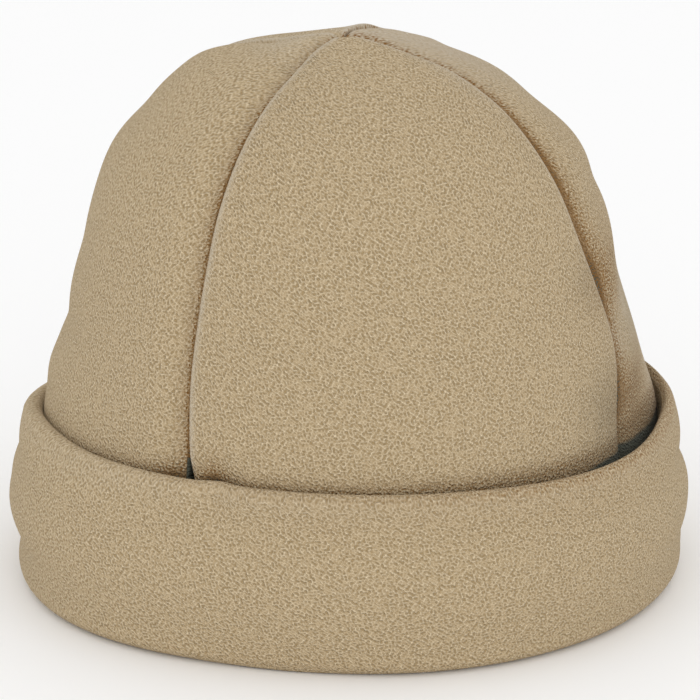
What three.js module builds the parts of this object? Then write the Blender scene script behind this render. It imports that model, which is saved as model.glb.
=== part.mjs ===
// A four-panel fleece beanie with a doubled cuff turned up round its rim, standing on that cuff.
// Millimetres, +Z up, the front panel towards -Y, the origin on the floor at the middle of the rim.
// Azimuths are in degrees, counted from the front (-Y) towards the right (+X).
import * as THREE from "three";

// Fleece and sewing
const fleece = 2.2; // wall thickness of one layer
const gap = 0.35; // left between two pieces that touch
const allowance = 5; // how far a panel's edges are turned in beyond its groove
const ovalDepth = 1.03; // front-to-back size over side-to-side size
const sand = 0xb49d7a; // the fleece's colour

// Crown profile from the sewn bottom edge to the apex, as the radius to the hat's side
const crownProfile = [
  { radius: 94.6, height: fleece + gap },
  { radius: 95.8, height: 20 },
  { radius: 96.4, height: 38 },
  { radius: 96.0, height: 55 },
  { radius: 92.4, height: 75 },
  { radius: 87.6, height: 95 },
  { radius: 82.2, height: 115 },
  { radius: 73.4, height: 135 },
  { radius: 59.0, height: 152.5 },
  { radius: 40.0, height: 165 },
  { radius: 19.5, height: 171.6 },
  { radius: 0, height: 173.6 },
];
const crownRows = 20; // mesh rows from the edge to the apex
const cuffedHeight = 60; // the crown stands within its cuff up to here
const tipRadius = 0.35; // each panel stops this far from the middle of the apex
const tipPit = 1.5; // how deep the four tips are drawn in

// Seams between the panels: an even place each, and shifts in degrees at even steps of height
const seamEven = { frontLeft: -46, frontRight: 46, backRight: 134, backLeft: 226 };
const seamStep = 29;
const seamShift = [
  { height: 0, frontLeft: -0.5, frontRight: -0.5, backRight: 0, backLeft: 0 },
  { height: 29, frontLeft: -0.5, frontRight: -0.5, backRight: 0, backLeft: -0.5 },
  { height: 58, frontLeft: -0.7, frontRight: 0, backRight: 0.5, backLeft: -1 },
  { height: 87, frontLeft: -2.5, frontRight: 5, backRight: 2, backLeft: -2 },
  { height: 116, frontLeft: -2.5, frontRight: 3.8, backRight: 0.5, backLeft: -2 },
  { height: 145, frontLeft: -3, frontRight: 3.2, backRight: -1, backLeft: -0.5 },
  { height: 174, frontLeft: -4, frontRight: 6, backRight: 0, backLeft: 0 },
];

// Soft bulges (out above 0) and dents of the crown, with their half sizes in degrees and millimetres
const crownDents = [
  { name: "left shoulder", azimuth: -112, height: 149, wide: 42, tall: 21, out: 3.4 },
  { name: "left brow", azimuth: -104, height: 162, wide: 34, tall: 5, out: 1.5 },
  { name: "left of the apex", azimuth: -120, height: 172.5, wide: 40, tall: 3, out: -1.4 },
  { name: "behind the apex", azimuth: 135, height: 171, wide: 30, tall: 4, out: 1.4 },
  { name: "right of the apex", azimuth: 84, height: 166, wide: 30, tall: 7, out: -1.2 },
  { name: "left waist", azimuth: -100, height: 84, wide: 30, tall: 12, out: -0.6 },
  { name: "left base", azimuth: -104, height: 45, wide: 30, tall: 20, out: 1.2 },
  { name: "right shoulder", azimuth: 76, height: 138, wide: 20, tall: 11, out: 0.8 },
  { name: "right waist", azimuth: 74, height: 93, wide: 16, tall: 20, out: -1.9 },
  { name: "right hem dent", azimuth: 62, height: 60, wide: 14, tall: 12, out: -2.4 },
  { name: "back dent", azimuth: 165, height: 98, wide: 30, tall: 20, out: -2 },
  { name: "back bulge", azimuth: -165, height: 134, wide: 34, tall: 18, out: 1.5 },
];

// How deep a panel's face sinks beside its seam, by the distance from the seam
const proudEdge = [
  { from: 0, sink: 4.2 },
  { from: 0.7, sink: 2.4 },
  { from: 2.2, sink: 1.1 },
  { from: 5, sink: 0.5 },
  { from: 11, sink: 0 },
];
const sunkenEdge = [
  { from: 0, sink: 4.2 },
  { from: 0.7, sink: 3.3 },
  { from: 2.2, sink: 2.5 },
  { from: 5, sink: 1.6 },
  { from: 11, sink: 0.4 },
];
const plainColumns = 6; // mesh columns between a panel's two shaped edges
const narrowRadius = 26; // nearer to the apex than this the seams grow finer

// The four panels, each from its left seam to its right seam as seen from outside
const panels = [
  { name: "crown_panel_front", left: "frontLeft", right: "frontRight", edge: proudEdge },
  { name: "crown_panel_right", left: "frontRight", right: "backRight", edge: sunkenEdge },
  { name: "crown_panel_back", left: "backRight", right: "backLeft", edge: proudEdge },
  { name: "crown_panel_left", left: "backLeft", right: "frontLeft", edge: sunkenEdge },
];

// The middle of the cuff's wall: up beside the crown, over the fold, down outside and under the rim
const cuffInside = [
  { out: gap + fleece / 2, height: 8 },
  { out: gap + fleece / 2, height: 24 },
  { out: gap + fleece / 2, height: 40 },
];
const cuffFold = { out: 3.75, height: 54.3, radius: 2.3, steps: 5 };
const cuffOutside = [
  { out: 7.1, height: 46.5 },
  { out: 8.6, height: 38.5 },
  { out: 9.9, height: 31 },
  { out: 10.2, height: 24 },
  { out: 9.7, height: 16 },
  { out: 9.3, height: 10 },
];
const cuffTurn = { out: 4.6, height: 4.6 + fleece / 2, radius: 4.6, steps: 4 };
const cuffUnder = [
  { out: 3.8, height: fleece / 2 },
  { out: 0.8, height: fleece / 2 },
  { out: -2.2, height: fleece / 2 },
];

// How the cuff changes round the hat: its top's rise, how far it opens there, and its outside's swell
const cuffRound = [
  { azimuth: -180, rise: -1.5, open: 0.6, swell: 0 },
  { azimuth: -144, rise: -4.2, open: 0.3, swell: 0.2 },
  { azimuth: -108, rise: -4.5, open: 0, swell: 0.8 },
  { azimuth: -72, rise: -1.5, open: 0, swell: 3.5 },
  { azimuth: -36, rise: 0, open: 0, swell: -1.6 },
  { azimuth: 0, rise: 0, open: 0.2, swell: -0.2 },
  { azimuth: 36, rise: -0.8, open: 1.2, swell: 1 },
  { azimuth: 72, rise: -1.5, open: 1.5, swell: 0.4 },
  { azimuth: 108, rise: -1.4, open: 1.2, swell: 0 },
  { azimuth: 144, rise: -1, open: 0.8, swell: 0 },
];
const cuffSteps = 60;

const radians = THREE.MathUtils.degToRad;

// Smooth value of a table's column at a place counted in rows, on a closed table or an open one
function alongRows(rows, column, place, closed = false) {
  const last = rows.length - 1;
  const at = (i) => rows[closed ? (i + rows.length) % rows.length : Math.min(Math.max(i, 0), last)][column];
  const i = Math.floor(place);
  const f = place - i;
  const [a, b, c, d] = [at(i - 1), at(i), at(i + 1), at(i + 2)];
  return b + 0.5 * f * (c - a + f * (2 * a - 5 * b + 4 * c - d + f * (3 * (b - c) + d - a)));
}

// The turn from one azimuth to another, between -180 and 180
function turnBetween(azimuth, other) {
  return ((((other - azimuth + 180) % 360) + 360) % 360) - 180;
}

// The profile again past the apex, so that the crown is round on top
const apexPlace = crownProfile.length - 1;
const wholeProfile = [
  ...crownProfile,
  ...crownProfile.slice(-3, -1).reverse().map(({ radius, height }) => ({ radius: -radius, height })),
];

function profileAt(place) {
  return {
    radius: alongRows(wholeProfile, "radius", place),
    height: alongRows(wholeProfile, "height", place),
  };
}

// The crown's outer face: a point, the way out of it, and its profile values
function crownFace(azimuth, place) {
  const step = 0.01;
  const here = profileAt(place);
  const [below, above] = [profileAt(Math.max(0, place - step)), profileAt(place + step)];
  const [rise, narrowing] = [above.height - below.height, below.radius - above.radius];
  const angle = radians(azimuth);
  const normal = new THREE.Vector3(
    rise * Math.sin(angle),
    (-rise * Math.cos(angle)) / ovalDepth,
    narrowing,
  ).normalize();
  const dent = crownDents.reduce((sum, { azimuth: middle, height, wide, tall, out }) => {
    const across = turnBetween(middle, azimuth) / wide;
    const up = (here.height - height) / tall;
    return sum + out * Math.exp(-across * across - up * up);
  }, 0);
  const point = new THREE.Vector3(
    here.radius * Math.sin(angle),
    -here.radius * ovalDepth * Math.cos(angle),
    here.height,
  ).addScaledVector(normal, dent);
  return { point, normal, ...here };
}

function crownFaceAtHeight(azimuth, height) {
  const within = Math.min(Math.max(height, crownProfile[0].height), cuffedHeight);
  const above = crownProfile.findIndex((row) => row.height > within);
  const [low, high] = [crownProfile[above - 1], crownProfile[above]];
  const place = above - 1 + (within - low.height) / (high.height - low.height);
  return crownFace(azimuth, place).point;
}

function seamAzimuth(seam, height) {
  return seamEven[seam] + alongRows(seamShift, seam, height / seamStep);
}

// Outer and inner points of one shaped edge of a panel, from the seam towards the panel's middle
function panelEdge(seam, towards, place, edge) {
  const onSeam = crownFace(seam, place);
  const fine = Math.min(1, onSeam.radius / narrowRadius);
  const shallow = 0.45 + 0.55 * fine;
  const degreesPer = (towards * 180) / (Math.PI * onSeam.radius);
  const across = crownFace(seam + towards / 2, place).point.sub(onSeam.point);
  across.addScaledVector(onSeam.normal, -across.dot(onSeam.normal)).normalize();
  const turnedIn = (distance, depth) =>
    onSeam.point.clone().addScaledVector(across, distance).addScaledVector(onSeam.normal, -depth);
  const onFace = (distance, depth) => {
    const { point, normal } = crownFace(seam + distance * degreesPer, place);
    return point.addScaledVector(normal, -depth);
  };
  const wall = fleece * fine;
  const groove = edge[0].sink * shallow;
  const tip = groove + allowance * shallow;
  const bend = fleece + edge[2].sink * shallow + 0.2;
  const faces = edge.slice(1);
  return {
    outer: [
      turnedIn(gap / 2, tip),
      turnedIn(gap / 2, groove),
      ...faces.map(({ from, sink }) => onFace(gap / 2 + from * fine, sink * shallow)),
    ],
    inner: [
      turnedIn(gap / 2 + wall, tip),
      turnedIn(gap / 2 + wall, bend),
      ...faces.map(({ from, sink }) => {
        const distance = gap / 2 + Math.max(from * fine, wall + 0.35 * from * fine);
        return onFace(distance, fleece + sink * shallow);
      }),
    ],
  };
}

// One row of a panel's points, outer and inner, from its left seam to its right seam
function panelRow({ left, right, edge }, place) {
  const { height, radius } = profileAt(place);
  const from = seamAzimuth(left, height);
  const to = seamAzimuth(right, height) + (seamEven[right] < seamEven[left] ? 360 : 0);
  const [start, end] = [panelEdge(from, 1, place, edge), panelEdge(to, -1, place, edge)];
  const fine = Math.min(1, radius / narrowRadius);
  const shaped = ((edge[edge.length - 1].from * fine + gap / 2) * 180) / (Math.PI * radius);
  const plain = Array.from({ length: plainColumns }, (_, i) => {
    const share = (i + 1) / (plainColumns + 1);
    return crownFace(from + shaped + share * (to - from - 2 * shaped), place);
  });
  return {
    outer: [...start.outer, ...plain.map(({ point }) => point), ...end.outer.reverse()],
    inner: [
      ...start.inner,
      ...plain.map(({ point, normal }) => point.clone().addScaledVector(normal, -fleece)),
      ...end.inner.reverse(),
    ],
  };
}

// The last row of a panel, drawn together to its tip beside the apex
function panelTip({ left, right }, columns) {
  const top = profileAt(apexPlace).height;
  const to = seamEven[right] + (seamEven[right] < seamEven[left] ? 360 : 0);
  const middle = radians((seamEven[left] + to) / 2);
  const at = (height) =>
    new THREE.Vector3(tipRadius * Math.sin(middle), -tipRadius * Math.cos(middle), height);
  const upper = at(top - tipPit);
  const lower = at(top - tipPit - fleece);
  const outer = Array.from({ length: columns }, (_, i) => (i % (columns - 1) ? upper : lower));
  return { outer, inner: Array.from({ length: columns }, () => lower) };
}

function geometryOf(points, triangles) {
  const geometry = new THREE.BufferGeometry();
  const positions = points.flatMap(({ x, y, z }) => [x, y, z]);
  geometry.setAttribute("position", new THREE.Float32BufferAttribute(positions, 3));
  geometry.setIndex(triangles);
  return geometry;
}

// One crown panel: its wall, closed at the bottom edge and down both turned-in edges
function crownPanel(panel) {
  const rows = Array.from({ length: crownRows }, (_, row) => panelRow(panel, (row / crownRows) * apexPlace));
  rows.push(panelTip(panel, rows[0].outer.length));
  const columns = rows[0].outer.length;
  const outside = (row, column) => row * columns + column;
  const inside = (row, column) => (rows.length + row) * columns + column;
  const triangles = [];
  const quad = (a, b, c, d) => triangles.push(a, b, c, a, c, d);
  for (let row = 0; row < crownRows; row += 1) {
    const up = row + 1;
    for (let column = 0; column < columns - 1; column += 1) {
      const next = column + 1;
      quad(outside(row, column), outside(row, next), outside(up, next), outside(up, column));
      quad(inside(row, column), inside(up, column), inside(up, next), inside(row, next));
    }
    const end = columns - 1;
    quad(outside(row, 0), outside(up, 0), inside(up, 0), inside(row, 0));
    quad(outside(row, end), inside(row, end), inside(up, end), outside(up, end));
  }
  for (let column = 0; column < columns - 1; column += 1) {
    const next = column + 1;
    quad(outside(0, column), inside(0, column), inside(0, next), outside(0, next));
  }
  const points = [...rows.flatMap(({ outer }) => outer), ...rows.flatMap(({ inner }) => inner)];
  return geometryOf(points, triangles);
}

// Points on an arc of the cuff's section, the angles counted from straight out
function sectionArc({ out, height, radius, steps }, from, to) {
  return Array.from({ length: steps + 1 }, (_, i) => {
    const angle = radians(from + ((to - from) * i) / steps);
    return { out: out + radius * Math.cos(angle), height: height + radius * Math.sin(angle) };
  });
}

// The middle line of the cuff's wall for one row of changes
function cuffLine({ rise, open, swell }) {
  const share = (height) => Math.min(1, height / cuffFold.height);
  const moved = (row, outward, upward) => ({ out: row.out + outward, height: row.height + upward });
  return [
    ...cuffInside.map((row) => moved(row, open * share(row.height) ** 3, rise * share(row.height))),
    ...sectionArc(cuffFold, 180, 0).map((row) => moved(row, open, rise)),
    ...cuffOutside.map((row) => moved(row, open * share(row.height) + swell, rise * share(row.height))),
    ...sectionArc(cuffTurn, 0, -90).map((row) => moved(row, swell, 0)),
    ...cuffUnder,
  ];
}

// The line given a wall on both sides of it, as one closed outline
function walledSection(line) {
  const side = (sign) =>
    line.map((here, i) => {
      const [before, after] = [line[Math.max(0, i - 1)], line[Math.min(line.length - 1, i + 1)]];
      const way = new THREE.Vector2(after.out - before.out, after.height - before.height);
      way.setLength(fleece / 2);
      return { out: here.out - sign * way.y, height: here.height + sign * way.x };
    });
  return [...side(1), ...side(-1).reverse()];
}

function cuffChanges(azimuth) {
  const place = azimuth / (360 / cuffRound.length) + cuffRound.findIndex((row) => row.azimuth === 0);
  const at = (column) => alongRows(cuffRound, column, place % cuffRound.length, true);
  return { rise: at("rise"), open: at("open"), swell: at("swell") };
}

// The cuff: one band of fleece, doubled over a soft fold and turned under to the crown's edge
function cuff() {
  const loops = Array.from({ length: cuffSteps }, (_, step) => {
    const azimuth = (360 * step) / cuffSteps;
    const angle = radians(azimuth);
    return walledSection(cuffLine(cuffChanges(azimuth))).map(({ out, height }) => {
      const base = crownFaceAtHeight(azimuth, height);
      return new THREE.Vector3(
        base.x + out * Math.sin(angle),
        base.y - out * Math.cos(angle),
        Math.max(0, height),
      );
    });
  });
  const count = loops[0].length;
  const triangles = loops.flatMap((loop, step) =>
    loop.flatMap((_, i) => {
      const [here, next] = [step * count, ((step + 1) % cuffSteps) * count];
      const j = (i + 1) % count;
      return [here + i, here + j, next + j, here + i, next + j, next + i];
    }),
  );
  return geometryOf(loops.flat(), triangles);
}

function fleecePiece(name, geometry) {
  const material = new THREE.MeshStandardMaterial({ color: sand, roughness: 0.95, metalness: 0 });
  const piece = new THREE.Mesh(geometry, material);
  piece.name = name;
  return piece;
}

const beanie = new THREE.Group();
panels.forEach((panel) => beanie.add(fleecePiece(panel.name, crownPanel(panel))));
beanie.add(fleecePiece("cuff", cuff()));

export default beanie;
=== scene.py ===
import math

import bmesh
import bpy
import numpy as np
from mathutils import Matrix, Vector


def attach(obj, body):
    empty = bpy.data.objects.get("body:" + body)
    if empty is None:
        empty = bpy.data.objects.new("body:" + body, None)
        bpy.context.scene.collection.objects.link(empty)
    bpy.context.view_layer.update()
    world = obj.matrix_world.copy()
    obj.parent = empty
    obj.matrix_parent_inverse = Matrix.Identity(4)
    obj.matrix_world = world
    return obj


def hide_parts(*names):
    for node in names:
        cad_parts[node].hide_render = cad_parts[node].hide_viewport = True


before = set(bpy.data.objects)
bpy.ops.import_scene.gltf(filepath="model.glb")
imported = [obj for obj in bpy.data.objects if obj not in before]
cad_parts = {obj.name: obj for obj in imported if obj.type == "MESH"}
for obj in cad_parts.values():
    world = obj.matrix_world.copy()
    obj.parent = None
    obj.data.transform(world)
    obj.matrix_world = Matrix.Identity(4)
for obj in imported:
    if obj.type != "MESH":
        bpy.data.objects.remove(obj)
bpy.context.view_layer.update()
scene = bpy.context.scene
mm = 0.001
print("frame loaded")

# The crown's outer face, in millimetres and degrees. Azimuth 0 is the front, 90 the right side.
# The profile goes up from the hem to the apex, where the crown has a small pit and leans aside.
crownShape = {
    "radius": [94.6, 95.8, 96.4, 96.0, 92.4, 87.6, 82.2, 73.4, 59.0, 40.0, 19.5, 0],
    "height": [2.55, 20, 38, 55, 75, 95, 115, 135, 152.5, 165, 171.6, 173.6],
    "oval": 1.03,
    "cuffedHeight": 60,  # the cuff follows the crown up to here
    "pit": {"deep": 2.1, "radius": 3.2},
    "tip": {"aside": -2.4, "from": 167, "to": 173.4},
}
# Soft bulges and dents: azimuth, height, half width, half height, how far out
crownDents = {
    "leftShoulder": (-112, 149, 42, 21, 3.4),
    "leftBrow": (-104, 162, 34, 5, 1.5),
    "leftOfApex": (-120, 172.5, 40, 3, -1.4),
    "behindApex": (118, 171, 24, 4, 1.4),
    "rightOfApex": (84, 166, 30, 7, -1.2),
    "leftWaist": (-100, 84, 30, 12, -0.6),
    "leftBase": (-104, 45, 30, 20, 1.2),
    "rightShoulder": (76, 138, 20, 11, 0.8),
    "rightWaist": (74, 93, 16, 20, -1.9),
    "rightHem": (62, 60, 14, 12, -2.4),
    "backDent": (165, 98, 30, 20, -2),
    "backBulge": (-165, 134, 34, 18, 1.5),
    "pucker": (-38.5, 54, 3.4, 8, -2.6),
}
# The same on the panels alone, where the crown stands off the cuff
panelDents = {
    "rightHemOut": (85, 48, 17, 15, 3.2),
    "rightFoot": (56, 58, 9, 10, -1.0),
    "leftShoulderIn": (-104, 151, 26, 13, -1.3),
    "leftTopIn": (-120, 171, 40, 3.2, -1.0),
    "behindLeftIn": (190, 168, 34, 5.5, -1.6),
    "apexFold": (136, 172.2, 17, 1.7, 1.1),
    "behindApexIn": (176, 172.2, 20, 1.8, -0.6),
    "leftCheekIn": (-112, 146, 24, 6.5, -1.4),
    "leftRibIn": (-104, 107, 24, 8, -0.8),
    "leftSideIn": (-104, 82, 22, 6, -1.1),
    "leftSideOut": (-104, 66, 22, 5, 0.8),
    "rightTopIn": (104, 166, 34, 6, -1.5),
    "rightShoulderIn": (84, 151, 22, 8, -2.0),
    "rightCheekIn": (76, 127, 18, 6, -1.0),
    "rightSideIn": (76, 100, 18, 10, -0.5),
}
# Dark painted shade in the folds and dents: azimuth, height, half width, half height, how dark
foldShade = {
    "pucker": (-40.4, 54, 2.2, 7.5, 0.95),
    "rightDent": (58, 66, 13, 10, 0.72),
    "crease": (-30.5, 53.5, 1.2, 2.2, 0.9),
    "leftFoot": (-49, 54, 3, 5, 0.6),
    "rightWaist": (57, 104, 12, 10, 0.5),
    "rightTop": (95, 175, 46, 14, 0.18),
}
# Places in a plain painted shade: the same columns
shaded = {
    "pucker": (-40.4, 52, 2.2, 5, 0.3),
    "rightDent": (58, 66, 14, 11, 0.08),
    "rightRidge": (74, 84, 20, 11, 0.15),
    "frontEdge": (43, 66, 9, 13, 0.26),
    "frontWaist": (44, 106, 6, 8, 0.12),
}
# Painted highlights, paler places on ridges and tops that catch the light: the same columns
paintedHighlights = {
    "crown_panel_front": {"topRight": (50, 168, 12, 9, 0.5)},
    "crown_panel_right": {
        "ridge": (78, 84, 22, 12, 0.4),
        "creaseTop": (74, 99, 7, 5, 0.5),
        "creaseMiddle": (64, 93, 5, 5, 0.45),
        "creaseFoot": (54, 84, 4, 6, 0.45),
        "besideCuff": (80, 56, 10, 14, 0.6),
        "top": (95, 175, 52, 15, 0.9),
    },
    "crown_panel_back": {"top": (120, 172, 56, 8, 0.8)},
    "crown_panel_left": {"top": (-100, 172, 50, 3, 0.4)},
}
# The crown is shaded beside the cuff's fold and a little above it
hemShade = {
    "azimuth": [-110, -80, -50, 100, 165],
    "height": [51, 52.5, 55.5, 55.5, 51],
    "dark": [0, 0.1, 0.55, 0.55, 0],
    "tall": 3.2,
}
# Painted shade of the gap: under this height the crown is painted as dark as the gap, where it
# stands off the cuff
gapShade = {
    "azimuth": [8, 18, 26, 30, 34, 40, 45, 56, 66, 76, 110, 150],
    "height": [40, 46.8, 49.2, 50.4, 52.0, 53.0, 52.6, 52.0, 50.6, 50.8, 48, 30],
}
# Each seam's even azimuth, and its shift at every seamStep of height
seams = {
    "frontLeft": (-46, [-0.1, -0.1, -0.3, -2.1, -2.0, -2.3, -3.2]),
    "frontRight": (46, [-0.5, -0.5, 2.5, 6.8, 2.0, 1.5, 5]),
    "backRight": (134, [0, 0, 0.5, 2, 0.5, -1, 0]),
    "backLeft": (226, [0, -0.5, -1, -2, -2, -0.5, 0]),
}
seamStep = 29
# How dark each seam is at the same heights, and how wide its shade
seamShade = {
    "frontLeft": ([1, 1, 1, 0.8, 0.8, 1.0, 0.45], [1, 1, 1, 1, 1, 0.9, 0.8]),
    "frontRight": ([0.5, 0.5, 0.8, 0.9, 1.0, 1.2, 0.6], [1, 1, 0.8, 0.6, 1.0, 0.45, 0.3]),
    "backRight": ([1, 1, 1, 1, 0.8, 0.6, 0.55], [1, 1, 1, 1, 1, 1, 0.35]),
    "backLeft": ([1, 1, 1, 1, 0.8, 0.3, 0], [1, 1, 1, 1, 1, 1, 1]),
}


def smoothRows(values, place, closed=False):
    values = np.asarray(values, float)
    low = np.floor(place).astype(int)
    f = place - low

    def at(i):
        return values[i % len(values)] if closed else values[np.clip(i, 0, len(values) - 1)]

    a, b, c, d = at(low - 1), at(low), at(low + 1), at(low + 2)
    return b + 0.5 * f * (c - a + f * (2 * a - 5 * b + 4 * c - d + f * (3 * (b - c) + d - a)))


def turnBetween(azimuth, other):
    return (other - azimuth + 180) % 360 - 180


def profileAt(place):
    # The profile goes on beyond the apex, so its top is round
    radius, height = crownShape["radius"], crownShape["height"]
    beyond = [-r for r in radius[-2:-4:-1]], height[-2:-4:-1]
    return smoothRows(radius + beyond[0], place), smoothRows(height + beyond[1], place)


def spread(places, azimuth, height):
    total = 0
    for middle, level, wide, tall, most in places.values():
        aside, above = turnBetween(middle, azimuth) / wide, (height - level) / tall
        total = total + most * np.exp(-(aside**2) - above**2)
    return total


# A point on the crown's outer face, and the face's normal there
def crownFace(azimuth, place, dents=crownDents):
    radius, height = profileAt(place)
    step = 0.01
    ahead, behind = profileAt(place + step), profileAt(np.maximum(place - step, 0))
    rise, narrowing = ahead[1] - behind[1], behind[0] - ahead[0]
    oval, pit, tip = crownShape["oval"], crownShape["pit"], crownShape["tip"]
    x, y = np.sin(np.radians(azimuth)), -np.cos(np.radians(azimuth))
    normal = np.stack([rise * x, rise * y / oval, narrowing + 0 * x], -1)
    normal /= np.linalg.norm(normal, axis=-1, keepdims=True)
    dent = spread(dents, azimuth, height) - pit["deep"] * np.exp(-((radius / pit["radius"]) ** 2))
    point = np.stack([radius * x, radius * oval * y, height + 0 * x], -1)
    risen = np.clip((height - tip["from"]) / (tip["to"] - tip["from"]), 0, 1)
    point[..., 0] += tip["aside"] * risen**2 * (3 - 2 * risen)
    return point + normal * dent[..., None], normal


def seamAzimuth(name, height):
    even, shift = seams[name]
    return even + smoothRows(shift, height / seamStep)


# Shader maths: a value takes +, -, * and /, and tree.node makes any other node
class ShaderValue:
    def __init__(self, tree, socket):
        self.tree, self.socket = tree, socket

    def worked(self, operation, *others):
        made = self.tree.nodes.new("ShaderNodeMath")
        made.operation = operation
        for i, value in enumerate((self, *others)):
            self.tree.put(made.inputs[i], value)
        return ShaderValue(self.tree, made.outputs[0])

    def fromNumber(self, operation, number):
        made = self.tree.nodes.new("ShaderNodeMath")
        made.operation = operation
        made.inputs[0].default_value = number
        self.tree.put(made.inputs[1], self)
        return ShaderValue(self.tree, made.outputs[0])

    def __add__(self, other):
        return self.worked("ADD", other)

    def __sub__(self, other):
        return self.worked("SUBTRACT", other)

    def __mul__(self, other):
        return self.worked("MULTIPLY", other)

    def __truediv__(self, other):
        return self.worked("DIVIDE", other)

    __radd__, __rmul__ = __add__, __mul__

    def __rsub__(self, other):
        return self.fromNumber("SUBTRACT", other)

    def __rtruediv__(self, other):
        return self.fromNumber("DIVIDE", other)

    def clamped(self):
        return self.worked("MAXIMUM", 0.0).worked("MINIMUM", 1.0)


class ShaderTree:
    def __init__(self, name):
        self.material = bpy.data.materials.new(name)
        self.material.use_nodes = True
        self.nodes, self.links = self.material.node_tree.nodes, self.material.node_tree.links
        self.nodes.clear()

    def put(self, socket, value):
        if isinstance(value, ShaderValue):
            self.links.new(value.socket, socket)
        elif isinstance(value, bpy.types.NodeSocket):
            self.links.new(value, socket)
        else:
            socket.default_value = value

    def node(self, kind, settings=None, out=0, **values):
        made = self.nodes.new(kind)
        for key, value in (settings or {}).items():
            setattr(made, key, value)
        for key, value in values.items():
            numbered = key[0] == "i" and key[1:].isdigit()
            self.put(made.inputs[int(key[1:]) if numbered else key.replace("_", " ")], value)
        return made if out is None else ShaderValue(self, made.outputs[out])

    def mixed(self, factor, first, second):
        kind = {"data_type": "RGBA"}
        return self.node("ShaderNodeMix", kind, out=2, i0=factor, i6=first, i7=second)


fleece = {
    "thickness": 2.2,
    "gap": 0.35,  # between two pieces
    "light": (0.612, 0.494, 0.327, 1),  # tops of the pile
    "dark": (0.335, 0.236, 0.118, 1),  # between the curls: the pile's darker roots, and painted shade in the crevices
    "smoothAndLit": (0.510, 0.448, 0.352, 1),  # where the pile is rolled and brushed, and the colour of painted highlights
    "paintedShade": (0.215, 0.104, 0.025, 1),  # painted shade beside a seam or fold
    "gloom": (0.085, 0.089, 0.068, 1),  # painted shade deep in it
    # The pile's curls: their size in millimetres, and the way they lie
    "grain": 0.66,
    "slant": 34,
    "stretch": 1.15,
    "curl": 0.1,
    "combed": 0.12,  # how far they lengthen towards the apex
    "contrast": 2.05,
    "flattened": 0.6,  # the share of the contrast that goes where the pile is brushed and where highlight is painted
    # How smooth the brushed pile and the painted highlights look between the curls, and how much
    # more on them
    "smoothed": {"between": 0.35, "onCurls": 0.9},
    # Specks in the painted shade: size, how deep the painted shade has to be, and how sharp they
    # are
    "speckle": {"size": 0.62, "from": 0.125, "gain": 2, "above": 0.52, "contrast": 7},
    "paintedShadeShare": 0.85,  # how brown the fullest painted shade is
    "speckledTo": 1.05,  # painted shade deeper than this has no specks
    # Where the painted shade turns to the darker painted gloom
    "deep": {"from": 0.8, "to": 1, "specks": 0.3, "gain": 4},
    "relief": 0.00055,  # in metres
    "roughness": 0.95,
    "specular": 0.15,
    "sheen": {"weight": 0.05, "roughness": 0.5},
}


def fleeceMaterial():
    tree = ShaderTree("fleece")
    cloth = tree.node("ShaderNodeUVMap", {"uv_map": "cloth"})
    slanted = tree.node(
        "ShaderNodeMapping",
        {"vector_type": "TEXTURE"},
        Vector=cloth,
        Rotation=(0, 0, -math.radians(fleece["slant"])),
        Scale=(fleece["stretch"], 1, 1),
    )
    grain = tree.node(
        "ShaderNodeTexNoise",
        Vector=slanted,
        Scale=1 / fleece["grain"],
        Detail=0.0,
        Distortion=fleece["curl"],
    )
    speck, smoothed, deep = fleece["speckle"], fleece["smoothed"], fleece["deep"]
    speckle = tree.node("ShaderNodeTexNoise", Vector=cloth, Scale=1 / speck["size"], Detail=0.0)
    brushedAndLit, paintedShade, shade = (
        tree.node("ShaderNodeAttribute", {"attribute_name": name}, out=2)
        for name in ("brushedAndLit", "paintedShade", "shade")
    )
    curls = (grain - 0.5) * fleece["contrast"] * (1 - brushedAndLit * fleece["flattened"])
    pile = (curls + 0.5).clamped()
    colour = tree.mixed(pile, fleece["dark"], fleece["light"])
    # Paler smooth colour where the pile is brushed, and painted highlights on lit ridges and tops
    smoothShare = brushedAndLit * (pile * smoothed["onCurls"] + smoothed["between"])
    colour = tree.mixed(smoothShare.clamped(), colour, fleece["smoothAndLit"])
    # Painted shade, brown beside seams, folds and dents, with specks
    spotted = ((paintedShade - speck["from"]) * speck["gain"]).clamped()
    specks = spotted * (speckle - speck["above"]) * speck["contrast"]
    depth = paintedShade * fleece["paintedShadeShare"] + specks * (fleece["speckledTo"] - paintedShade).clamped()
    colour = tree.mixed(depth.clamped(), colour, fleece["paintedShade"])
    # Painted gloom, the darkest painted shade, in the gaps and deepest seams
    sunk = (paintedShade - deep["to"] + specks * deep["specks"]).clamped()
    gloom = shade.clamped() + sunk * (paintedShade - deep["from"]).clamped() * deep["gain"]
    colour = tree.mixed(gloom.clamped(), colour, fleece["gloom"])
    bump = tree.node("ShaderNodeBump", Strength=1.0, Distance=fleece["relief"], Height=pile)
    surface = tree.node(
        "ShaderNodeBsdfPrincipled",
        Base_Color=colour,
        Roughness=fleece["roughness"],
        Normal=bump,
        Sheen_Weight=fleece["sheen"]["weight"],
        Sheen_Roughness=fleece["sheen"]["roughness"],
        Specular_IOR_Level=fleece["specular"],
    )
    tree.node("ShaderNodeOutputMaterial", out=None, Surface=surface)
    return tree.material


fleeceCloth = fleeceMaterial()
print("fleece made")


def readValues(mesh, name):
    values = np.zeros(len(mesh.vertices), np.float32)
    mesh.attributes[name].data.foreach_get("value", values)
    return values.astype(float)


def writeValues(mesh, name, values):
    made = mesh.attributes.new(name, "FLOAT", "POINT")
    made.data.foreach_set("value", np.asarray(values, np.float32))


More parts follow.
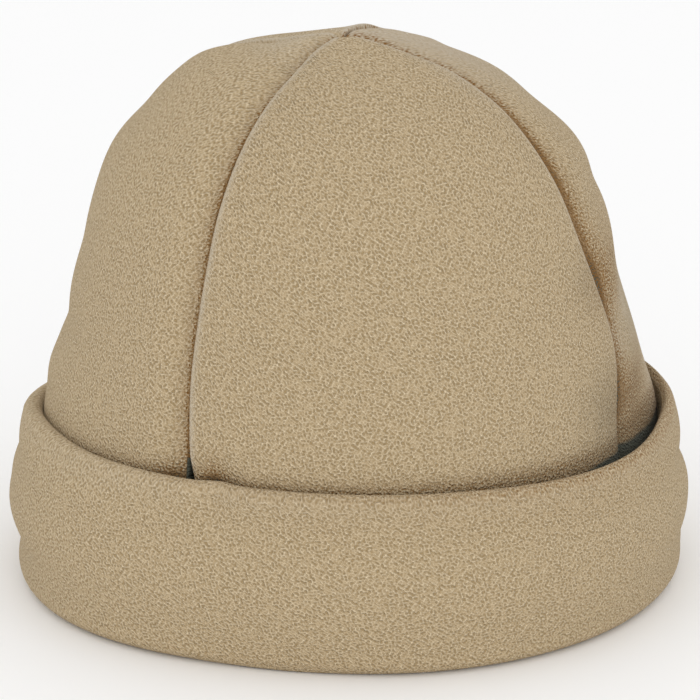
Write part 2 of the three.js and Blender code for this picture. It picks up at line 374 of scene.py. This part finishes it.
def finished(mesh, name, points, cloth, brushedAndLit, paintedShade, shade, spare):
    mesh.vertices.foreach_set("co", (points * mm).astype(np.float32).ravel())
    for layer in spare:
        mesh.attributes.remove(mesh.attributes[layer])
    corner = np.zeros(len(mesh.loops), np.int32)
    mesh.loops.foreach_get("vertex_index", corner)
    flat = cloth[corner]
    turn = cloth[:, 0].max() - cloth[:, 0].min()
    starts = [p.loop_start for p in mesh.polygons]
    first = flat[np.repeat(starts, [p.loop_total for p in mesh.polygons]), 0]
    # No face runs back over the whole cloth where its two ends meet
    flat[:, 0] -= turn * np.round((flat[:, 0] - first) / turn)
    mesh.uv_layers.new(name="cloth").uv.foreach_set("vector", flat.astype(np.float32).ravel())
    for layer, values in (("brushedAndLit", brushedAndLit), ("paintedShade", paintedShade), ("shade", shade)):
        writeValues(mesh, layer, values)
    mesh.polygons.foreach_set("use_smooth", [True] * len(mesh.polygons))
    mesh.materials.append(fleeceCloth)
    mesh.update()
    piece = bpy.data.objects.new(name, mesh)
    scene.collection.objects.link(piece)
    return piece


# Crown panels. The edge lists go from the tip of the turned-in allowance, over the seam's roll,
# to the plain face, on a seam's proud side and on its sunken side.
panelCut = {
    "edgeColumns": 21,
    "plainColumns": 171,
    "hiddenRows": 24,
    "shownRows": 231,
    "hiddenTo": 2.6,  # the cuff hides the crown up to here, in steps of the profile
    "coarser": 3,  # how much coarser the inner face is
    "narrowRadius": 26,  # the edges narrow inside this radius
    "leastSink": 0.45,  # the share of the sink that is left at the apex
    "tipRadius": 0.55,
    "allowanceTo": 2.5,  # the place in the edge lists where the allowance ends
    "bendRoom": 0.2,
    "insideSpread": 0.35,
    "proud": {
        "out": [0, 0, 0, 0.35, 1.3, 3.2, 6.6, 12],
        "sink": [9.2, 6.4, 4.2, 2.6, 1.35, 0.7, 0.3, 0],
        "brushedAndLit": 0.9,
        "gloomTo": 2,
    },
    "sunken": {
        "out": [0, 0, 0, 0.6, 2.2, 4.8, 8.4, 13],
        "sink": [9.2, 6.4, 4.4, 3.9, 3.2, 2.0, 0.8, 0],
        "brushedAndLit": 0.15,
        "gloomTo": 3.1,
    },
    # The brushed roll beside a seam: where it is full, where it starts to fade, and how fast
    "roll": {"full": 1.8, "fades": 1.2, "wide": 1.9},
    # Shades on a seam's proud and sunken sides: even width, width of the fading, how dark
    "dark": {
        "frontRight": {"proud": [(0.6, 0.8, 0.6)], "sunken": [(3.2, 1.6, 0.42), (2.8, 7, 0.46)]},
        "other": {"proud": [(0.7, 0.6, 0.6)], "sunken": [(0.4, 0.8, 0.7), (0, 3.2, 0.46)]},
    },
    # How far the panels part at a seam's foot: middle height, half height, proud side, sunken side
    "part": {"frontLeft": (55, 6, 2.2, 0.4), "frontRight": (52, 8, 0.3, 0.2)},
    "partedGloom": 0.3,  # the opening is gloomy where the panels part by more than this share
    "hemGloom": 0.35,
    "tipDark": {"most": 0.4, "radius": 2.6},
    "grainStep": 3,
}
# Each panel's left and right seam, and which side of them it is on
panels = {
    "crown_panel_front": ("frontLeft", "frontRight", "proud"),
    "crown_panel_right": ("frontRight", "backRight", "sunken"),
    "crown_panel_back": ("backRight", "backLeft", "proud"),
    "crown_panel_left": ("backLeft", "frontLeft", "sunken"),
}


def panelGrid(name):
    columns = 2 * panelCut["edgeColumns"] + panelCut["plainColumns"]
    rows = panelCut["hiddenRows"] + panelCut["shownRows"]
    bm = bmesh.new()
    column, row, inner = (bm.verts.layers.float.new(n) for n in ("column", "row", "inner"))
    for side, coarser in ((0, 1), (1, panelCut["coarser"])):
        made = bmesh.ops.create_grid(
            bm,
            x_segments=columns // coarser,
            y_segments=rows // coarser,
            size=0.5,
            matrix=Matrix.Translation((0, 0, -0.1 * side)),
        )
        for v in made["verts"]:
            v[column], v[row], v[inner] = (v.co.x + 0.5) * columns, (v.co.y + 0.5) * rows, side
    bmesh.ops.bridge_loops(bm, edges=[e for e in bm.edges if e.is_boundary])
    bmesh.ops.recalc_face_normals(bm, faces=bm.faces)
    mesh = bpy.data.meshes.new(name)
    bm.to_mesh(mesh)
    bm.free()
    return mesh


def panelShape(name, column, row, inner):
    left, right, edgeKind = panels[name]
    edge = panelCut[edgeKind]
    edgeColumns, plainColumns = panelCut["edgeColumns"], panelCut["plainColumns"]
    columns = 2 * edgeColumns + plainColumns
    hidden, shown = panelCut["hiddenRows"], panelCut["shownRows"]
    topPlace = len(crownShape["radius"]) - 1
    tipPlace = topPlace - panelCut["tipRadius"] / crownShape["radius"][-2]
    place = np.interp(row, [0, hidden, hidden + shown], [0, panelCut["hiddenTo"], tipPlace])
    radius, height = profileAt(place)
    start = seamAzimuth(left, height)
    end = seamAzimuth(right, height) + (360 if seams[right][0] < seams[left][0] else 0)
    fine = np.minimum(1, radius / panelCut["narrowRadius"])
    shallow = panelCut["leastSink"] + (1 - panelCut["leastSink"]) * fine
    perMillimetre = 180 / (math.pi * radius)
    # The way in from the nearer edge, and its place in the edge lists
    near = np.minimum(column, columns - column)
    last = len(edge["out"]) - 1
    entry = np.minimum(near / edgeColumns * last, last)
    inAllowance = entry < panelCut["allowanceTo"]
    out = smoothRows(edge["out"], entry) * fine
    sink = smoothRows(edge["sink"], entry) * shallow
    wall = fleece["thickness"] * fine
    bend = fleece["thickness"] + edge["sink"][4] * shallow + panelCut["bendRoom"]
    spreadOut = np.maximum(out, wall + panelCut["insideSpread"] * out)
    insideOut = np.where(inAllowance, wall, spreadOut)
    turned = np.clip(entry / 2, 0, 1)
    foldedBack = edge["sink"][0] * shallow * (1 - turned) + bend * turned
    insideSink = np.where(inAllowance, foldedBack, sink + fleece["thickness"])
    fromLeft = column < columns / 2
    sides = ((left, fromLeft), (right, ~fromLeft))
    parted = foot = 0
    for seam, here in sides:
        if seam in panelCut["part"]:
            level, tall, *opening = panelCut["part"][seam]
            close = here * np.exp(-(((height - level) / tall) ** 2))
            foot, parted = foot + close, parted + close * opening[edgeKind != "proud"]
    fade = np.clip(1 - out / edge["out"][-1], 0, 1)
    distance = fleece["gap"] / 2 + np.where(inner > 0, insideOut, out) + parted * fade
    depth = np.where(inner > 0, insideSink, sink)
    shaped = (edge["out"][-1] * fine + fleece["gap"] / 2) * perMillimetre
    share = np.clip((column - edgeColumns) / plainColumns, 0, 1)
    azimuth = np.where(
        near < edgeColumns,
        np.where(fromLeft, start + distance * perMillimetre, end - distance * perMillimetre),
        start + shaped + share * (end - start - 2 * shaped),
    )
    point, normal = crownFace(azimuth, place, {**crownDents, **panelDents})
    point -= normal * depth[:, None]
    places = np.linspace(0, topPlace, 500)
    steps = np.hypot(*(np.diff(values) for values in profileAt(places)))
    up = np.interp(place, places, np.concatenate([[0], np.cumsum(steps)]))
    up *= 1 - fleece["combed"] * (up / steps.sum()) ** 3
    middle = (start + end) / 2
    # Each panel takes its own stretch of the grain
    across = np.radians(azimuth - middle) * radius + seams[left][0] * panelCut["grainStep"]
    return {
        "point": point,
        "cloth": np.column_stack([across, up]),
        "azimuth": azimuth,
        "height": height,
        "radius": radius,
        "distance": distance,
        "entry": entry,
        "sides": sides,
        "foot": foot,
    }


def panelShades(name, inner, shape):
    edgeKind = panels[name][2]
    edge, roll, tip = panelCut[edgeKind], panelCut["roll"], panelCut["tipDark"]
    azimuth, height, distance, entry = (
        shape[key] for key in ("azimuth", "height", "distance", "entry")
    )
    level = shape["point"][:, 2]
    ahead = turnBetween(0, azimuth)
    outside = inner < 0.5
    smoothShare = np.exp(-((np.maximum(distance - roll["fades"], 0) / roll["wide"]) ** 2)) * outside
    smoothShare *= np.clip(distance / roll["full"], 0, 1)
    brushedAndLit = np.where(entry < len(edge["out"]) - 1, smoothShare, 0) * edge["brushedAndLit"]
    # Painted highlights on lit ridges and tops go in with the brushed pile
    brushedAndLit = (brushedAndLit + spread(paintedHighlights[name], azimuth, height) * outside).clip(0, 1)
    beside = np.maximum(distance - fleece["gap"] / 2, 0)
    # Painted shade beside the seams, above the hem, in the folds and at the apex pit
    paintedShade = 0
    for seam, here in shape["sides"]:
        deep, wide = (smoothRows(rows, height / seamStep) for rows in seamShade[seam])
        lines = panelCut["dark"].get(seam, panelCut["dark"]["other"])[edgeKind]
        for flat, fading, most in lines:
            beyond = np.maximum(beside - flat, 0) / fading / wide
            paintedShade = paintedShade + here * deep * most * np.exp(-(beyond**2))
    hemLevel = np.interp(ahead, hemShade["azimuth"], hemShade["height"])
    hem = np.interp(ahead, hemShade["azimuth"], hemShade["dark"])
    hem *= np.exp(-((np.maximum(level - hemLevel, 0) / hemShade["tall"]) ** 2))
    paintedShade = np.maximum(paintedShade, hem) + spread(foldShade, azimuth, height)
    paintedShade += tip["most"] * np.exp(-((shape["radius"] / tip["radius"]) ** 2))
    # Plain painted shade over the hem and the shaded places
    shade = panelCut["hemGloom"] * hem + spread(shaded, azimuth, height)
    inSeam = (entry < edge["gloomTo"]) & (shape["foot"] > panelCut["partedGloom"])
    shade = np.where(inSeam, 1, shade)
    # Painted shade of the gap under the crown's hem
    gapShadeTop = np.interp(ahead, gapShade["azimuth"], gapShade["height"])
    shade += np.clip(gapShadeTop + 0.5 - level, 0, 1) * (ahead > gapShade["azimuth"][0])
    return brushedAndLit, paintedShade * outside, shade.clip(0, 1) * outside


def crownPanel(name):
    mesh = panelGrid(name)
    layers = ("column", "row", "inner")
    column, row, inner = (readValues(mesh, layer) for layer in layers)
    shape = panelShape(name, column, row, inner)
    shades = panelShades(name, inner, shape)
    return finished(mesh, name + "_fleece", shape["point"], shape["cloth"], *shades, layers)


# Cuff: the middle of its wall, as way out from the crown and height, up beside the crown, over
# the fold, down outside and under the rim
cuffCut = {
    "inside": [(1.45, 8), (1.45, 24), (1.45, 40)],
    "fold": {"out": 3.75, "height": 54.3, "radius": 2.3},
    "outside": [(7.1, 46.5), (8.6, 38.5), (9.9, 31), (10.2, 24), (9.7, 16), (9.3, 10)],
    "turn": {"out": 4.6, "height": 5.7, "radius": 4.6},
    "rim": [(3.8, 1.1), (0.8, 1.1), (-2.2, 1.1)],
    # At every 36 degrees from the back: how far its top rises, how far it stands open, how far its
    # foot swells, and how much thinner the fold is inside
    "rise": [-1.5, -4.6, -4.8, -2.0, 0, -0.9, -3, -2.1, -1.6, -1],
    "open": [0.6, 0.1, -0.2, 0, 0, 0.2, 1.2, 1.5, 1.2, 0.8],
    "swell": [0, 0.2, 0.8, 3.5, -1.6, -0.2, 1, 0.4, 0, 0],
    "thin": [0, 0, 0, 0, 0, 0.4, 2.1, 2.4, 1.8, 0.6],
    # Local lifts of its top: azimuth, height, half width, half height, how far up
    "lifts": {"leftBack": (-127, 50, 15, 200, -3.4), "left": (-88, 50, 14, 200, 1.4)},
    # Soft dents in it: azimuth, height, half width, half height, how far out
    "dents": {
        "leftUpper": (-105, 42, 26, 5, -2.3),
        "leftMiddle": (-105, 32, 26, 5, -0.9),
        "leftLower": (-105, 15, 26, 6, -2.7),
        "rightUpper": (76, 38.5, 20, 5, -2.4),
        "rightMiddle": (76, 16.5, 20, 3.5, -0.9),
        "rightLower": (76, 4, 22, 5, 1.2),
        "rightBack": (100, 52, 16, 7, -1.0),
        "leftBack": (-132, 50, 16, 9, -1.5),
        "leftFoot": (-54, 3, 20, 6, 0.4),
        "frontFoot": (-24, 2, 18, 8, -1.8),
    },
    "dented": (4, 7),  # only the outer layer has them, and they fade in between these ways out
    "hiddenTo": 44,  # the wall beside the crown doesn't show below here
    # Shades by height over the fold, the paler brushed top and the painted shade along it: middle,
    # half height, how much
    "brushedAndLit": (1.5, 4.5, 0.12),
    "darkLines": [(2.6, 1.8, 0.3), (0, 10, 0.1)],
    "darkAround": {"azimuth": [-60, 30, 100, 165], "share": [0, 1, 1, 0]},
    # Shades inside the fold, by depth under insideTop: from, fading in over, how much
    "insideTop": 1.2,
    "insideDark": [(0, 3, 0.2), (6, 4, 0.3)],
    "insideGloom": (8, 4, 0.6),
    "around": 600,
    "fine": 0.76,
    "coarse": 3.2,
    "middleRadius": 100,
}


def arcPoints(arc, start, stop, steps):
    turns = np.radians(np.linspace(start, stop, steps))
    return [
        (arc["out"] + arc["radius"] * math.cos(t), arc["height"] + arc["radius"] * math.sin(t))
        for t in turns
    ]


def cuffLine():
    inside, outside, rim = cuffCut["inside"], cuffCut["outside"], cuffCut["rim"]
    fold = arcPoints(cuffCut["fold"], 180, 0, 9)
    turn = arcPoints(cuffCut["turn"], 0, -90, 5)
    parts = (inside, fold, outside, turn, rim)
    line = np.array(sum(parts, []))
    counts = [len(part) for part in parts]
    rises, power, swell = (
        np.repeat(values, counts)
        for values in ([1, 1, 1, 0, 0], [3, 0, 1, 1, 1], [0, 0, 1, 1, 0])
    )
    share = np.minimum(1, line[:, 1] / cuffCut["fold"]["height"])
    return np.column_stack([line, rises * share, rises * share**power, swell])


def cuffOutline():
    rows = cuffLine()
    place = np.linspace(0, len(rows) - 1, 4000)
    fine = np.column_stack([smoothRows(rows[:, i], place) for i in range(5)])
    steps = np.linalg.norm(np.diff(fine[:, :2], axis=0), axis=1)
    along = np.concatenate([[0], np.cumsum(steps)])
    way = np.gradient(fine[:, :2], axis=0)
    way /= np.linalg.norm(way, axis=1, keepdims=True)
    sideways = np.column_stack([-way[:, 1], way[:, 0]]) * fleece["thickness"] / 2
    hiddenTo = along[np.argmax(fine[:, 1] > cuffCut["hiddenTo"])]
    seen = np.arange(hiddenTo, along[-1], cuffCut["fine"])
    outer = np.concatenate([np.arange(0, hiddenTo, cuffCut["coarse"]), seen])
    inner = np.linspace(along[-1], 0, int(along[-1] / cuffCut["coarse"]))

    def sampled(values, at):
        return np.column_stack([np.interp(at, along, values[:, i]) for i in range(values.shape[1])])

    outlines = []
    for at, sign, shows in ((outer, 1, 1), (inner, -1, 0)):
        part = sampled(fine, at)
        part[:, :2] += sign * sampled(sideways, at)
        outlines.append(np.column_stack([part, np.full(len(at), shows) * (at >= hiddenTo), at]))
    return np.concatenate(outlines)


def crownAtHeight(azimuth, height):
    table = crownShape["height"]
    within = np.clip(height, table[0], crownShape["cuffedHeight"])
    return crownFace(azimuth, np.interp(within, table, np.arange(len(table))))[0]


def cuffPiece():
    names = ("rise", "open", "swell", "seen", "along")
    bm = bmesh.new()
    layers = [bm.verts.layers.float.new(n) for n in names]
    section = []
    for row in cuffOutline():
        v = bm.verts.new((0, -(cuffCut["middleRadius"] + row[0]) * mm, row[1] * mm))
        for layer, value in zip(layers, row[2:]):
            v[layer] = value
        section.append(v)
    for a, b in zip(section, section[1:] + section[:1]):
        bm.edges.new((a, b))
    bmesh.ops.spin(
        bm,
        geom=bm.verts[:] + bm.edges[:],
        cent=(0, 0, 0),
        axis=(0, 0, 1),
        angle=2 * math.pi,
        steps=cuffCut["around"],
        use_merge=True,
    )
    bmesh.ops.recalc_face_normals(bm, faces=bm.faces)
    # The spin leaves its edges and faces in another order each run
    bm.verts.index_update()
    count = len(bm.verts)

    def order(part):
        numbers = [v.index for v in part.verts]
        return min(numbers) * count + max(numbers)

    bm.edges.sort(key=order)
    bm.faces.sort(key=order)
    mesh = bpy.data.meshes.new("cuff")
    bm.to_mesh(mesh)
    bm.free()
    spot = np.zeros(len(mesh.vertices) * 3, np.float32)
    mesh.vertices.foreach_get("co", spot)
    spot = spot.reshape(-1, 3).astype(float) / mm
    rise, opened, swell, seen, along = (readValues(mesh, n) for n in names)
    azimuth = np.degrees(np.arctan2(spot[:, 0], -spot[:, 1]))
    turn = (azimuth + 180) / 360 * len(cuffCut["rise"])
    out = np.hypot(spot[:, 0], spot[:, 1]) - cuffCut["middleRadius"]
    fold = cuffCut["fold"]
    local = spread(cuffCut["lifts"], azimuth, spot[:, 2])
    lift = rise * (smoothRows(cuffCut["rise"], turn, True) + local)
    inFold = np.clip((fold["out"] + fold["radius"] - out) / 2 / fold["radius"], 0, 1)
    inFold *= (rise > 0) * np.clip(spot[:, 2] / fold["height"], 0, 1) ** 3
    out = out + inFold * smoothRows(cuffCut["thin"], turn, True)
    out = out + opened * smoothRows(cuffCut["open"], turn, True)
    out = out + swell * smoothRows(cuffCut["swell"], turn, True)
    height = spot[:, 2] + lift
    dented = np.interp(out, cuffCut["dented"], (0, 1))
    out = out + spread(cuffCut["dents"], azimuth, height) * dented
    base = crownAtHeight(azimuth, height)
    angle = np.radians(azimuth)
    x, y = base[:, 0] + out * np.sin(angle), base[:, 1] - out * np.cos(angle)
    point = np.column_stack([x, y, np.maximum(height, 0)])
    over = height - fold["height"] - lift
    inside = (cuffCut["insideTop"] - over) * seen * inFold

    def line(middle, tall, most):
        return most * np.exp(-(((over - middle) / tall) ** 2))

    def within(start, fading, most):
        return most * np.clip((inside - start) / fading, 0, 1)

    around = cuffCut["darkAround"]
    brushedAndLit = line(*cuffCut["brushedAndLit"]) * seen
    # Painted shade along the fold's lines and deep inside the fold
    paintedShade = sum(line(*entry) for entry in cuffCut["darkLines"]) * seen
    paintedShade = paintedShade * np.interp(azimuth, around["azimuth"], around["share"])
    paintedShade += sum(within(*entry) for entry in cuffCut["insideDark"])
    shade = within(*cuffCut["insideGloom"])
    cloth = np.column_stack([angle * cuffCut["middleRadius"], -along])
    return finished(mesh, "cuff_fleece", point, cloth, brushedAndLit, paintedShade, shade, names)


# The flat cloth, in metres: each panel's area
panelAreas = {
    "crown_panel_front": 0.0293,
    "crown_panel_right": 0.0260,
    "crown_panel_back": 0.0279,
    "crown_panel_left": 0.0265,
}
for name, area in panelAreas.items():
    piece = crownPanel(name)
    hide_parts(name)
    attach(piece, "root")
    print(name, "made,", len(piece.data.polygons), "faces")

cuff = cuffPiece()
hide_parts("cuff")
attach(cuff, "root")
print("cuff made,", len(cuff.data.polygons), "faces")

# Studio: a pale floor, an even white surround and one large soft light
studio = {
    "floor": (0.97, 0.97, 0.97, 1),
    "surround": 0.98,
    "key": {
        "power": 11,
        "size": 1.6,
        "azimuth": -12,
        "elevation": 14,
        "distance": 2.2,
        "aim": 0.08,
    },
    "camera": {
        "azimuth": -14.5,
        "elevation": 17,
        "distance": 1.3,
        "centre": 0.088,
        "aim": (0.0003, 0, 0.0697),
        "lens": 210.6,
    },
}


def awayFrom(azimuth, elevation, distance, height):
    a, e = math.radians(azimuth), math.radians(elevation)
    return Vector(
        (
            distance * math.sin(a) * math.cos(e),
            -distance * math.cos(a) * math.cos(e),
            height + distance * math.sin(e),
        )
    )


def lookingAt(aim, spot):
    return (Vector(aim) - spot).to_track_quat("-Z", "Y").to_euler()


def makeFloor():
    bm = bmesh.new()
    bmesh.ops.create_grid(bm, x_segments=4, y_segments=4, size=4)
    mesh = bpy.data.meshes.new("studio_floor")
    bm.to_mesh(mesh)
    bm.free()
    tree = ShaderTree("floor")
    surface = tree.node("ShaderNodeBsdfPrincipled", Base_Color=studio["floor"], Roughness=0.8)
    tree.node("ShaderNodeOutputMaterial", out=None, Surface=surface)
    mesh.materials.append(tree.material)
    floor = bpy.data.objects.new("studio_floor", mesh)
    floor.location.z = -0.0002
    scene.collection.objects.link(floor)


def makeLight():
    world = bpy.data.worlds.new("surround")
    world.use_nodes = True
    background = world.node_tree.nodes["Background"]
    background.inputs["Color"].default_value = (1, 1, 1, 1)
    background.inputs["Strength"].default_value = studio["surround"]
    scene.world = world
    key = studio["key"]
    lamp = bpy.data.lights.new("key", "AREA")
    lamp.energy, lamp.size = key["power"], key["size"]
    light = bpy.data.objects.new("key", lamp)
    light.location = awayFrom(key["azimuth"], key["elevation"], key["distance"], key["aim"])
    light.rotation_euler = lookingAt((0, 0, key["aim"]), light.location)
    scene.collection.objects.link(light)


def makeCamera():
    view = studio["camera"]
    lens = bpy.data.cameras.new("camera")
    lens.lens, lens.sensor_width = view["lens"], 36
    lens.clip_start, lens.clip_end = 0.05, 20
    camera = bpy.data.objects.new("camera", lens)
    camera.location = awayFrom(view["azimuth"], view["elevation"], view["distance"], view["centre"])
    camera.rotation_euler = lookingAt(view["aim"], camera.location)
    scene.collection.objects.link(camera)
    scene.camera = camera
    scene.view_settings.view_transform = "Standard"


makeFloor()
makeLight()
makeCamera()
print("studio made")
